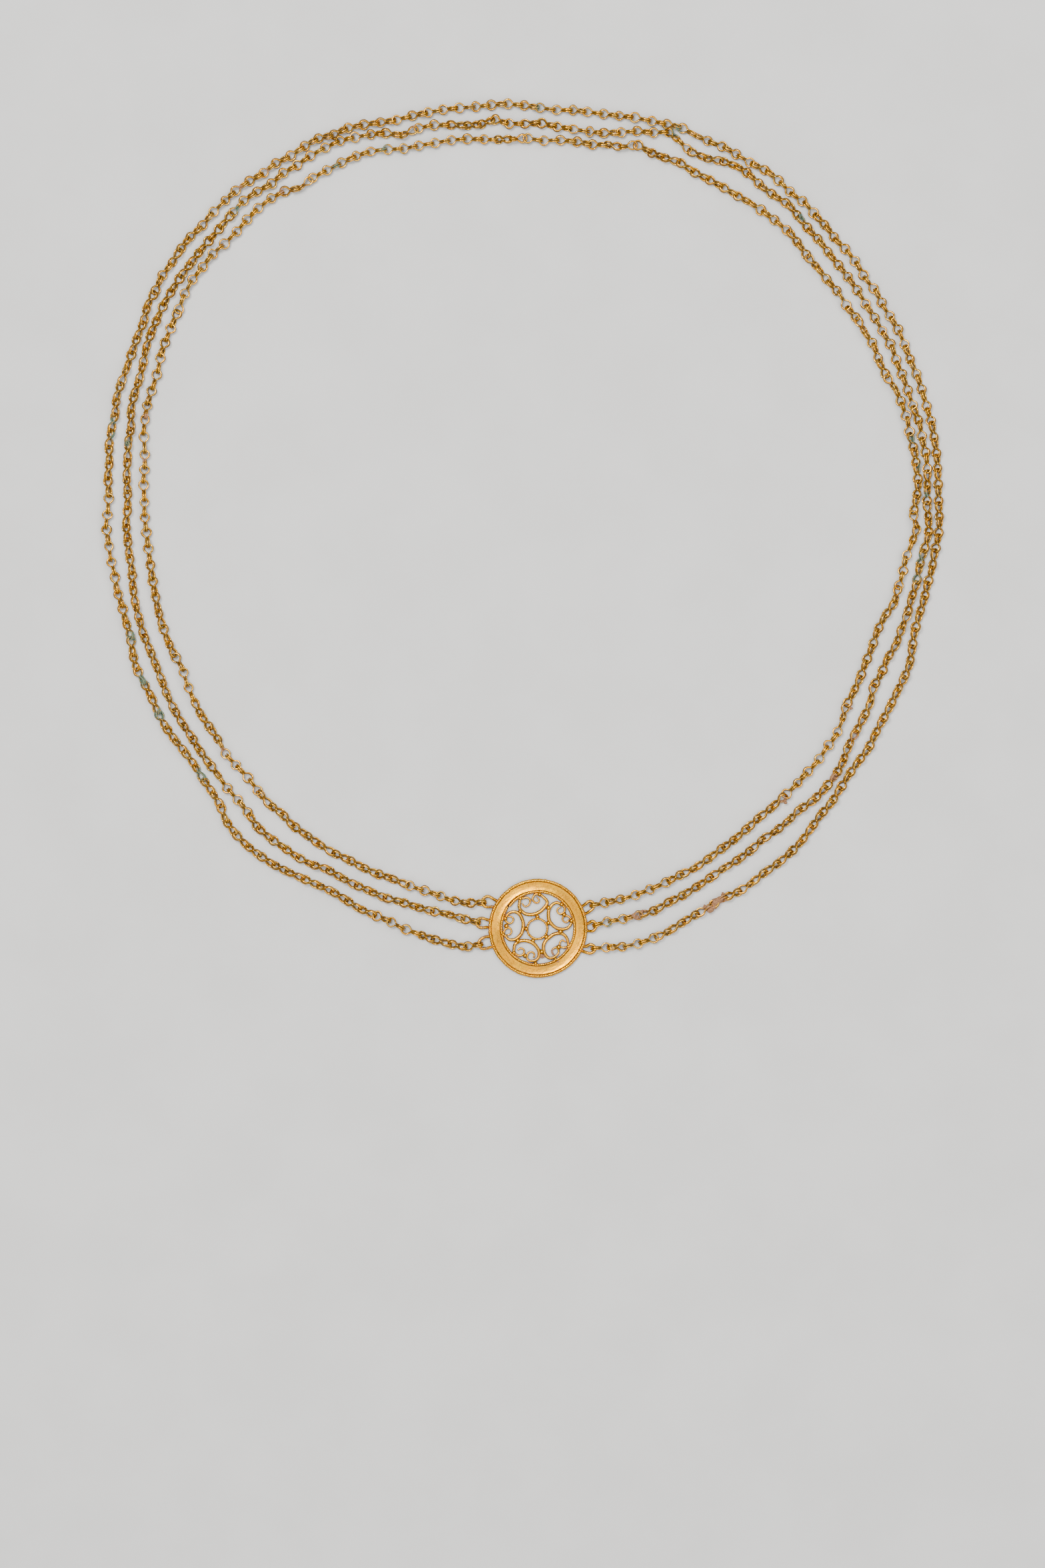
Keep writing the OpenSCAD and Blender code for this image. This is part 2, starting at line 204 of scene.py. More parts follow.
class Sheet:
    """Gathers one piece's parts, with the values that its material reads, and makes its mesh."""

    def __init__(self):
        self.verts, self.faces, self.values, self.count = [], [], {}, 0

    def add(self, verts, faces, **values):
        """Adds a part. A value is one number, or one a vertex, and is 0 in parts without it."""
        self.faces += [[q + self.count for q in f] for f in faces]
        for name in sorted({*self.values, *values}):
            had = self.values.setdefault(name, [np.zeros(self.count)])
            had.append(np.broadcast_to(values.get(name, 0.0), len(verts)))
        self.verts.append(verts)
        self.count += len(verts)

    def piece(self, name, material, slot, replaces=()):
        mesh = bpy.data.meshes.new(name)
        places = (np.concatenate(self.verts) + CENTRE) * MM
        mesh.from_pydata(places.tolist(), [], self.faces)
        mesh.shade_smooth()
        for key, parts in self.values.items():
            attribute = mesh.attributes.new(key, "FLOAT", "POINT")
            attribute.data.foreach_set("value", np.concatenate(parts).astype(np.float32))
        mesh.materials.append(material)
        obj = bpy.data.objects.new(name, mesh)
        bpy.context.scene.collection.objects.link(obj)
        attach(obj, BODY)
        if replaces:
            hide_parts(*replaces)


# Materials

class Nodes:
    """Short calls for the nodes of one material."""

    def __init__(self, name):
        self.material = bpy.data.materials.new(name)
        self.material.use_nodes = True
        self.tree = self.material.node_tree
        self.shader = self.tree.nodes["Principled BSDF"]
        self.place = self.new("TexCoord").outputs["Object"]

    def new(self, kind):
        return self.tree.nodes.new("ShaderNode" + kind)

    def link(self, source, socket):
        self.tree.links.new(source, socket)

    def put(self, value, socket):
        """Sets a socket to a number or a colour, or links it to another node's output."""
        if isinstance(value, tuple):
            socket.default_value = (*value, 1.0)
        elif isinstance(value, (int, float)):
            socket.default_value = value
        else:
            self.link(value, socket)

    def noise(self, scale, detail=3.0, rough=0.55):
        node = self.new("TexNoise")
        for name, number in {"Scale": scale, "Detail": detail, "Roughness": rough}.items():
            node.inputs[name].default_value = number
        self.link(self.place, node.inputs["Vector"])
        return node.outputs["Fac"]

    def value(self, name):
        """A value that the mesh carries at its vertices."""
        node = self.new("Attribute")
        node.attribute_name = name
        return node.outputs["Fac"]

    def spread(self, source, low, high, to_low=0.0, to_high=1.0):
        """The source, whose span from low to high is turned smoothly into to_low to to_high."""
        node = self.new("MapRange")
        node.interpolation_type = "SMOOTHSTEP"
        ends = {"From Min": low, "From Max": high, "To Min": to_low, "To Max": to_high}
        for name, number in ends.items():
            node.inputs[name].default_value = number
        self.link(source, node.inputs["Value"])
        return node.outputs["Result"]

    def maths(self, operation, a, b, clamp=False):
        node = self.new("Math")
        node.operation = operation
        node.use_clamp = clamp
        self.put(a, node.inputs[0])
        self.put(b, node.inputs[1])
        return node.outputs["Value"]

    def times(self, a, b):
        return self.maths("MULTIPLY", a, b)

    def plus(self, a, b):
        """The sum, 1 at most."""
        return self.maths("ADD", a, b, clamp=True)

    def larger(self, a, b):
        return self.maths("MAXIMUM", a, b)

    def blend(self, share, a, b):
        """From a to b, which are colours, or numbers where b is given as one."""
        node = self.new("Mix")
        # The node has sockets of its own for each type
        node.data_type, first, result = ("FLOAT", 2, 0) if isinstance(b, float) else ("RGBA", 6, 2)
        self.link(share, node.inputs[0])
        self.put(a, node.inputs[first])
        self.put(b, node.inputs[first + 1])
        return node.outputs[result]

    def bump(self, *layers):
        """Each layer is a height, its strength and its depth in metres."""
        normal = None
        for height, strength, depth in layers:
            node = self.new("Bump")
            node.inputs["Strength"].default_value = strength
            node.inputs["Distance"].default_value = depth
            self.link(height, node.inputs["Height"])
            if normal is not None:
                self.link(normal, node.inputs["Normal"])
            normal = node.outputs["Normal"]
        self.link(normal, self.shader.inputs["Normal"])


GOLD = (0.96, 0.41, 0.004)
PALE_GOLD = (0.97, 0.47, 0.01)
WORN_GOLD = (0.98, 0.55, 0.06)
DEEP_GOLD = (0.4, 0.19, 0.03)
# Dark browns for painted shade, mixed with random stains and pitting
SHADE_STAIN_BROWN = (0.2, 0.095, 0.012)
DEEP_SHADE_SOIL = (0.045, 0.024, 0.01)
DARK_CRUST = (0.2, 0.085, 0.035)
CRUST = (0.42, 0.2, 0.09)
PALE_CRUST = (0.56, 0.31, 0.16)
VERDIGRIS = (0.075, 0.2, 0.155)
PALE_PAPER, PALER_PAPER = (0.79, 0.78, 0.76), (0.83, 0.82, 0.8)

# Scales of the noises, per metre: on the gold, on the lumps of crust and on the floor
TONE_PATCHES, WIDE_PATCHES, DENT_MARKS, PITTING, RAGGED_EDGES = 700, 240, 2600, 9000, 3100
CRUST_LUMPS, CRUST_GRAIN = 3500, 15000
PAPER_CLOUDS = 60
CRUST_DEPTH = 80e-6


def gold(name, roughness, grain, dents, specks=0.0, crowns=PALE_GOLD, turned=0.0):
    """Old gold, paler in random patches, with painted shade mixed with random stains in dark brown
    and near black where the mesh's values put it, and crust and verdigris where the mesh says so.
    The grain is the depth of its fine pitting and the dents that of its hammer marks. Turned gold
    is burnished round the Z axis: its highlights stretch across the ring.
    """
    n = Nodes(name)
    patches, marks = n.noise(TONE_PATCHES, 4), n.noise(DENT_MARKS)
    fine, ragged = n.noise(PITTING, 4, 0.7), n.noise(RAGGED_EDGES, 5, 0.65)
    # Painted shade: the mesh's shade values, with random patches and pitting, darken the gold to
    # brown and near black
    recess = n.value("recess")
    shade_and_stain = n.spread(n.plus(recess, n.times(patches, 0.4)), 0.3, 0.9)
    shade_and_soil = n.spread(n.plus(n.times(recess, 0.8), n.times(fine, 0.4)), 0.6, 0.95)

    def cover(kind, reach, low, high):
        """Where something has grown on the gold, with a ragged edge."""
        value = n.value(kind)
        grown = n.spread(n.plus(n.times(value, reach), ragged), low, high)
        return n.times(grown, n.spread(value, 0.05, 0.3))

    crust, green = cover("crust", 0.3, 0.68, 0.77), cover("green", 0.28, 0.66, 0.75)

    wide = n.spread(n.noise(WIDE_PATCHES, 2, 0.5), 0.4, 0.75)
    colour = n.blend(n.spread(patches, 0.4, 0.65), GOLD, crowns)
    colour = n.blend(n.times(wide, 0.4), colour, DEEP_GOLD)
    colour = n.blend(n.times(n.value("tone"), 0.4), colour, DEEP_GOLD)
    colour = n.blend(n.times(shade_and_stain, 0.9), colour, SHADE_STAIN_BROWN)
    if specks:
        pits = n.spread(n.noise(PITTING, 5, 0.85), 0.46, 0.64)
        colour = n.blend(n.times(pits, specks), colour, DEEP_GOLD)
    colour = n.blend(n.times(shade_and_soil, 0.9), colour, DEEP_SHADE_SOIL)
    colour = n.blend(crust, colour, n.blend(n.spread(fine, 0.4, 0.7), CRUST, PALE_CRUST))
    colour = n.blend(n.times(green, 0.85), colour, VERDIGRIS)
    n.link(colour, n.shader.inputs["Base Color"])

    dull = n.larger(crust, green)
    # Painted shade, crust and verdigris make the gold less metallic
    covered_or_shaded = n.larger(dull, n.larger(n.times(shade_and_stain, 0.75), shade_and_soil))
    n.link(n.blend(covered_or_shaded, 1.0, 0.05), n.shader.inputs["Metallic"])
    bare = n.spread(marks, 0.3, 0.7, roughness - 0.06, roughness + 0.08)
    bare = n.plus(bare, n.times(shade_and_stain, 0.2))
    n.link(n.blend(dull, bare, 0.8), n.shader.inputs["Roughness"])
    n.bump((marks, 0.5, dents), (fine, 0.6, grain), (n.times(dull, ragged), 0.8, CRUST_DEPTH))
    if turned:
        along = n.new("Tangent")
        along.direction_type, along.axis = "RADIAL", "Z"
        n.link(along.outputs["Tangent"], n.shader.inputs["Tangent"])
        n.shader.inputs["Anisotropic"].default_value = turned
        n.shader.inputs["Anisotropic Rotation"].default_value = 0.25
    return n.material


band_gold = gold("satin_band_gold", roughness=0.28, grain=16e-6, dents=20e-6, specks=0.8,
                 turned=0.6)
wire_gold = gold("wire_gold", roughness=0.2, grain=40e-6, dents=30e-6, specks=0.9)
bead_gold = gold("bead_gold", roughness=0.2, grain=10e-6, dents=20e-6, specks=0.5)
granule_gold = gold("granule_gold", roughness=0.21, grain=4e-6, dents=6e-6)
chain_gold = gold("chain_gold", roughness=0.14, grain=10e-6, dents=18e-6, crowns=WORN_GOLD)


def crust_material():
    n = Nodes("mineral_crust")
    lumps, fine = n.noise(CRUST_LUMPS, 5, 0.65), n.noise(CRUST_GRAIN, 4, 0.7)
    colour = n.blend(n.spread(lumps, 0.35, 0.6), DARK_CRUST, CRUST)
    colour = n.blend(n.spread(fine, 0.5, 0.7), colour, PALE_CRUST)
    n.link(colour, n.shader.inputs["Base Color"])
    n.link(n.spread(fine, 0.3, 0.7, 0.62, 0.9), n.shader.inputs["Roughness"])
    n.bump((lumps, 0.8, CRUST_DEPTH), (fine, 0.8, CRUST_DEPTH / 2))
    return n.material


mineral_crust = crust_material()


# The medallion's rim

def ring(radii, heights, wobble):
    """Vertices and faces of a ring swept round the medallion from the corners of its section, and
    each vertex's corner. The wobble is added to the radius: a row a corner, or one for all."""
    a = 2 * np.pi * np.arange(RIM_STATIONS) / RIM_STATIONS
    r = np.broadcast_to(np.asarray(radii)[:, None] + wobble, (len(radii), RIM_STATIONS))
    z = np.broadcast_to(np.asarray(heights)[:, None], r.shape)
    verts = np.stack([r * np.cos(a), r * np.sin(a), z], axis=-1).transpose(1, 0, 2).reshape(-1, 3)
    corner = np.tile(np.arange(len(radii)), RIM_STATIONS)
    return verts, skin(RIM_STATIONS, len(radii), closed=True), corner


def rim_noise(knots, size):
    """Smooth random numbers round the rim, which turn over as often as there are knots."""
    v = RNG.normal(0, size, knots)
    at = np.linspace(0, knots, RIM_STATIONS, endpoint=False)
    low = np.floor(at).astype(int)
    t = at - low
    t = t * t * (3 - 2 * t)
    return v[low % knots] * (1 - t) + v[(low + 1) % knots] * t


def make_band():
    sheet = Sheet()
    radii = [PLATE_INNER_R, PLATE_OUTER_R, PLATE_OUTER_R, PLATE_INNER_R]
    verts, faces, _ = ring(radii, [0, 0, PLATE_T, PLATE_T], 0.0)
    # The plate is painted wholly in shade, dark where it shows between the band and the beaded
    # wires
    sheet.add(verts, faces, recess=1.0)

    # The strip's section: its dished face from the inner to the outer edge, then its underside
    share = np.array([0, 0.006, 0.03, 0.1, 0.2, 0.3, 0.4, 0.5, 0.6, 0.7, 0.8, 0.9, 0.97, 0.994, 1])
    on_face = len(share)
    rounding = np.array([0.1, 0.02] + [0] * (on_face - 4) + [0.02, 0.1])
    face_z = BAND_T - BAND_DISH * (1 - (2 * share - 1) ** 2) - rounding
    face_r = BAND_INNER_R + (BAND_OUTER_R - BAND_INNER_R) * share
    radii = np.concatenate([face_r, [BAND_OUTER_R, BAND_INNER_R]])
    heights = np.concatenate([face_z, [BAND_UNDER_Z, BAND_UNDER_Z]])

    # Its two edges are uneven, and its face is a little dented
    inner_edge = rim_noise(17, 0.035) + rim_noise(110, 0.016)
    outer_edge = rim_noise(15, 0.03) + rim_noise(120, 0.016)
    inner_weight = np.concatenate([np.clip(1 - share * 8, 0, 1), [0, 1]])
    outer_weight = np.concatenate([np.clip(1 - (1 - share) * 8, 0, 1), [1, 0]])
    wobble = inner_weight[:, None] * inner_edge + outer_weight[:, None] * outer_edge
    verts, faces, corner = ring(radii, heights, wobble)
    dents = np.stack([rim_noise(29 + 4 * k, 0.01) for k in range(len(radii))], axis=1)
    verts[:, 2] += dents.reshape(-1) * ((corner > 0) & (corner < on_face - 1))

    # Painted shade: brown along the band's edges and all over its underside, and darker and warmer
    # towards the front, in the middle of the band
    edge = np.minimum(corner, on_face - 1 - corner)
    edge_shade = np.array([0.8, 0.45, 0.25, 0.05, 0.0])[np.clip(edge, 0, 4)]
    recess = np.where(corner >= on_face, 1.0, edge_shade)
    angle = np.degrees(np.arctan2(verts[:, 1], verts[:, 0]))
    front = np.exp(-((angle + 95) / 35) ** 2)
    recess = recess + 0.3 * front * np.clip(1 - np.abs(edge - 2) / 3, 0, 1)
    sheet.add(verts, faces, recess=recess)
    sheet.piece("medallion_band", band_gold, "medallion_gold", ["medallion"])


def painted_flank_shade(out):
    """Painted shade from a surface's outward normals, as if it were in the shade of its own wire: 0
    on top of the wire, 1 on its sides and below, which are painted brown."""
    return np.clip((0.68 - out[:, 2]) / 0.5, 0, 1)


def beaded(radius, thickness, z, pitch, centre=(0, 0), worn_at=None, gap=None, end_offset=0.0):
    """A beaded wire bent into a ring: uneven collars along a thinner core, with the grooves worn
    away about one angle. A gap is the angle at which its ends meet, out of line by the offset."""
    beads = round(2 * math.pi * radius / pitch)
    is_narrow = RNG.random(beads) < 0.3
    narrow, wide = RNG.uniform(0.4, 0.65, beads), RNG.uniform(0.85, 1.5, beads)
    widths = np.where(is_narrow, narrow, wide)
    edges = np.append(0, np.cumsum(widths)) / widths.sum()
    profile_at = np.array([0.0, 0.06, 0.15, 0.3, 0.5, 0.7, 0.85, 0.94])
    profile = np.array([0.0, 0.45, 0.8, 0.96, 1.0, 0.96, 0.8, 0.45])
    share = (edges[:-1, None] + np.diff(edges)[:, None] * profile_at).reshape(-1)
    groove_r = np.clip(RNG.normal(0.79, 0.06, beads), 0.64, 0.9)
    if worn_at is not None:
        worn = np.exp(-((np.degrees(2 * np.pi * edges[:-1]) - worn_at) / 24) ** 2)
        groove_r = groove_r + (0.92 - groove_r) * worn
    crown = np.clip(RNG.normal(1, 0.045, beads), 0.88, 1.08)
    swell = (groove_r[:, None] + (crown - groove_r)[:, None] * profile).reshape(-1)
    offset = np.repeat(RNG.normal(0, 0.016, beads), len(profile))
    rise = np.repeat(RNG.normal(0, 0.014, beads), len(profile))
    a = 2 * np.pi * share
    if gap is not None:
        a = math.radians(gap) + 0.012 + (2 * np.pi - 0.024) * share
        offset = offset + end_offset * (np.exp(-share * 28) - np.exp(-(1 - share) * 28))
    path = np.stack([centre[0] + (radius + offset) * np.cos(a),
                     centre[1] + (radius + offset) * np.sin(a), z + rise], axis=1)
    verts, faces, out, station = wire(path, thickness / 2 * swell, BEAD_SIDES, closed=gap is None)
    # Painted shade in the grooves between the beads
    groove_shade = np.clip((0.89 - swell) / 0.12, 0, 1)[station]
    # The small beads get less painted shade down their sides than the plain wires
    return verts, faces, np.maximum(groove_shade, painted_flank_shade(out + (0, 0, 0.08)))


def make_beading(name, *sizes, **details):
    sheet = Sheet()
    verts, faces, recess = beaded(*sizes, **details)
    sheet.add(verts, faces, recess=recess)
    sheet.piece(name, bead_gold, "medallion_gold")


# The scrolls and granules

# Each scroll from the tip of one curl through its large arc to the tip of the other
SCROLLS = [
    [(-2.67, 4.22), (-2.41, 3.84), (-2, 3.75), (-1.55, 4.03), (-1.33, 4.61), (-1.5, 5.09),
     (-2, 5.28), (-2.5, 5.16), (-2.98, 5.11), (-3.17, 4.32), (-3.24, 3.75), (-3.03, 3.22),
     (-2.6, 2.79), (-2.17, 2.5), (-1.59, 2.36), (-1, 2.36), (-0.4, 2.5), (0.31, 2.84), (0.79, 3.22),
     (1.17, 3.65), (1.41, 3.95), (1.56, 4.32), (1.51, 4.75), (1.17, 5.13), (0.74, 5.52),
     (0.31, 5.83), (-0.25, 5.87), (-0.64, 5.66), (-0.95, 4.94), (-0.37, 4.37), (0.1, 4.5),
     (0.18, 4.85), (-0.11, 5.33)],
    [(3.85, 3.56), (3.47, 3.41), (3.3, 3.08), (3.42, 2.69), (3.85, 2.45), (4.4, 2.7), (4.6, 3.17),
     (4.5, 3.65), (4.07, 4.08), (3.57, 4.32), (3.14, 4.39), (2.6, 4.18), (2.2, 3.75), (1.9, 3.17),
     (1.8, 2.7), (1.8, 2.0), (1.94, 1.35), (2.28, 0.83), (2.75, 0.35), (3.3, 0.01), (3.9, -0.13),
     (4.5, -0.13), (5.0, 0.01), (5.4, 0.35), (5.67, 0.83), (5.74, 1.31), (5.45, 1.85), (5.1, 2.12),
     (4.81, 2.14), (4.38, 2.02), (4.21, 1.64), (4.33, 1.26), (4.72, 1.02), (5.05, 1.11),
     (5.24, 1.4)],
    [(4.64, -2.3), (4.28, -2.04), (3.9, -2.23), (3.71, -2.61), (3.75, -3.0), (4.0, -3.23),
     (4.38, -3.33), (4.72, -3.23), (5.22, -3.16), (5.12, -2.37), (5.0, -1.8), (4.72, -1.32),
     (4.28, -0.98), (3.81, -0.84), (3.33, -0.84), (2.85, -0.98), (2.37, -1.22), (1.9, -1.6),
     (1.41, -2.04), (1.08, -2.56), (0.94, -3.14), (0.98, -3.71), (1.17, -4.28), (1.46, -4.76),
     (1.89, -5.07), (2.37, -5.1), (2.85, -4.9), (3.23, -4.57), (3.52, -4.19), (3.54, -3.8),
     (3.35, -3.45), (3.04, -3.28), (2.6, -3.52), (2.37, -3.9), (2.42, -4.2), (2.66, -4.43)],
    [(-3.41, -3.69), (-3.03, -3.42), (-2.69, -3.45), (-2.41, -3.71), (-2.36, -4.19), (-2.6, -4.52),
     (-2.93, -4.67), (-3.32, -4.69), (-3.65, -4.48), (-4.13, -4.17), (-4.1, -3.57), (-4.03, -2.99),
     (-3.79, -2.61), (-2.98, -2.18), (-2.45, -2.11), (-2, -2.13), (-1.5, -2.23), (-1.02, -2.47),
     (-0.54, -2.8), (-0.16, -3.28), (0.13, -3.8), (0.18, -4.5), (0.08, -5.0), (-0.25, -5.39),
     (-0.68, -5.55), (-1.26, -5.58), (-1.74, -5.34), (-1.88, -5.0), (-1.78, -4.5), (-1.59, -4.19),
     (-1.26, -4.05), (-0.83, -4.14), (-0.61, -4.52), (-0.73, -4.95)],
    [(-5.1, 2.0), (-4.7, 2.02), (-4.32, 1.83), (-4.2, 1.45), (-4.42, 1.02), (-4.85, 0.83),
     (-5.23, 1.02), (-5.52, 1.26), (-5.6, 1.69), (-5.35, 2.17), (-5.09, 2.5), (-4.66, 2.74),
     (-4.13, 2.84), (-3.65, 2.74), (-3.27, 2.5), (-2.93, 2.07), (-2.69, 1.5), (-2.55, 1.0),
     (-2.53, 0.3), (-2.6, -0.1), (-2.74, -0.7), (-3.03, -1.17), (-3.46, -1.6), (-3.94, -1.9),
     (-4.37, -1.96), (-4.9, -1.94), (-5.28, -1.65), (-5.56, -1.32), (-5.94, -1.08), (-5.76, -0.46),
     (-5.56, -0.12), (-5.18, 0.05), (-4.85, 0.05), (-4.56, -0.31), (-4.56, -0.74), (-4.8, -1.03),
     (-5.25, -1.13)]]
# Granules: x, y, radius
GRANULES = [
    (-0.1, 2, 0.34), (1.8, 0.95, 0.35), (1.45, -1.45, 0.41), (-0.85, -2.1, 0.33), (-2, -0.1, 0.35),
    (-3.05, 2.9, 0.34), (1.8, 3.5, 0.39), (3.85, -0.55, 0.42), (0.65, -4, 0.42), (-3.45, -2.1, 0.4),
    (-3, 5.1, 0.31), (0.3, 5.8, 0.33), (4.05, 4.1, 0.35), (5.75, 1.3, 0.37), (5.2, -3.15, 0.28),
    (3, -5.3, 0.28), (-0.4, -6, 0.31), (-4.1, -4.2, 0.31), (-5.95, -1.05, 0.34), (-5.6, 1.7, 0.36),
    (4.5, 2.35, 0.37), (3.55, -3.2, 0.38), (-2.2, -4.7, 0.35), (-5.4, 0.4, 0.39)]
# Pinkish crust that stains the medallion: x, y, reach
MEDALLION_CRUST = [(0.75, -4.7, 0.6), (5.2, -3.35, 0.5), (3.1, -5.6, 0.5), (2.45, -4.2, 0.5),
                   (2.6, -3.7, 0.3), (-0.05, 5.4, 0.25), (3.5, -5.9, 0.3)]


def near(verts, spots):
    """How far each vertex is inside the nearest of the spots (x, y, reach): 1 in the middle."""
    best = np.zeros(len(verts))
    for x, y, reach in spots:
        d = np.hypot(verts[:, 0] - x, verts[:, 1] - y) / reach
        best = np.maximum(best, np.clip(1.4 - d, 0, 1))
    return best


def make_scrolls():
    sheet = Sheet()
    shade_near_granules = [(x, y, r * 1.5) for x, y, r in GRANULES]
    for points in SCROLLS:
        flat = smooth_curve(points, SCROLL_STEP)
        n = len(flat)
        path = np.column_stack([flat, SCROLL_Z + wander(n, 14, 0.015)])
        # The wire thickens along each curl, and again towards the middle of the arc
        along = np.linspace(0, 1, n)
        curl = np.clip(np.minimum(along, 1 - along) / 0.24, 0, 1)
        arc = np.sin(np.pi * np.clip((along - 0.22) / 0.56, 0, 1))
        d = CURL_TIP_D + (SCROLL_END_D - CURL_TIP_D) * curl + (SCROLL_D - SCROLL_END_D) * arc
        path, radius = rounded_ends(path, d / 2 * (1 + wander(n, 3, 0.02)))
        verts, faces, out, _ = wire(path, radius, WIRE_SIDES)
        # Painted shade down the wire's sides and below, and more where it runs in by the granules
        recess = np.clip(painted_flank_shade(out) + 0.3 * near(verts, shade_near_granules), 0, 1)
        sheet.add(verts, faces, recess=recess, crust=near(verts, MEDALLION_CRUST))
    sheet.piece("scrolls", wire_gold, "medallion_gold")


def make_granules():
    balls, solder = Sheet(), Sheet()
    for x, y, r in GRANULES:
        verts, faces = ball(r, 14, 22)
        verts[:, 2] *= GRANULE_HEIGHT
        # Painted shade on the lower half of each granule
        low = painted_flank_shade(verts / r)
        verts += (x, y, GRANULE_Z)
        balls.add(verts, faces, recess=low, crust=0.4 * near(verts, MEDALLION_CRUST))
        # The solder that it sits in, a low uneven collar between the wires
        verts, faces = ball(1.0, 10, 20)
        a = np.arctan2(verts[:, 1], verts[:, 0])
        swell = (1 + 0.09 * np.sin(3 * a + 6 * RNG.random())
                 + 0.06 * np.sin(5 * a + 6 * RNG.random()))
        reach = r * SOLDER_REACH * swell
        verts *= np.stack([reach, reach, np.full(len(a), SOLDER_HALF_T)], axis=1)
        verts += (x, y, SOLDER_Z)
        # The collar is painted almost wholly in shade, a dark ring round its granule
        solder.add(verts, faces, recess=0.95, crust=near(verts, MEDALLION_CRUST))
    balls.piece("granules", granule_gold, "medallion_gold")
    solder.piece("solder_collars", wire_gold, "medallion_gold")


# The loops that carry the strands, each from one root under the outer beaded wire to the other
STRAND_LOOPS = [
    [(7.15, 3.6), (7.85, 3.95), (8.8, 4.65), (9.45, 4.35), (9.5, 3.5), (8.45, 2.65), (7.65, 2.4)],
    [(7.95, 0.75), (8.55, 0.8), (9.4, 1.25), (10, 0.5), (9.5, -0.4), (8.65, -0.45), (8, -0.35)],
    [(7.4, -3.05), (8.2, -3.1), (9, -2.75), (9.65, -3.05), (9.75, -3.7), (9.2, -4.2), (8.5, -4.2),
     (7.1, -3.7)],
    [(-6.65, 4.45), (-7.4, 4.9), (-8.5, 5.5), (-9.35, 5.1), (-9.55, 4.35), (-8.95, 3.7),
     (-7.8, 3.7), (-7.2, 3.5)],
    [(-7.9, 1.35), (-8.45, 1.4), (-9.6, 1.75), (-10.4, 1.45), (-10.5, 0.7), (-9.9, 0.15),
     (-8.75, 0.2)],
    [(-7.9, -1.3), (-8.4, -1.4), (-9.15, -1.5), (-9.9, -1.95), (-10.15, -2.6), (-9.9, -3.2),
     (-9.3, -3.5), (-7.95, -3.2), (-7.4, -3)]]


def make_strand_loops():
    sheet = Sheet()
    for points in STRAND_LOOPS:
        flat = smooth_curve(points, LOOP_STEP)
        n = len(flat)
        rise = np.clip((np.hypot(*flat.T) - RIM_R + 0.2) / 1.1, 0, 1)
        path = np.column_stack([flat, LOOP_ROOT_Z + (LOOP_TIP_Z - LOOP_ROOT_Z) * rise])
        path, radius = rounded_ends(path, LOOP_WIRE_D / 2 * (1 + wander(n, 5, 0.03)))
        verts, faces, out, _ = wire(path, radius, WIRE_SIDES)
        # A thin crust lies on the loops on the left, and painted shade darkens every loop down its
        # sides
        sheet.add(verts, faces, recess=painted_flank_shade(out), crust=np.where(verts[:, 0] < 0, 0.5, 0.0))
    sheet.piece("strand_loops", wire_gold, "medallion_gold")


make_band()
make_beading("beaded_wire_outer", OUTER_WIRE_R, OUTER_WIRE_D, RIM_WIRE_Z, pitch=0.27, worn_at=97)
make_beading("beaded_wire_inner", INNER_WIRE_R, INNER_WIRE_D, RIM_WIRE_Z, pitch=0.28, gap=143.5,
             end_offset=0.13)
make_beading("beaded_ring_centre", CENTRE_RING_R, CENTRE_RING_D, SCROLL_Z, pitch=0.25,
             centre=CENTRE_RING_AT)
make_scrolls()
make_granules()
make_strand_loops()


# The chains

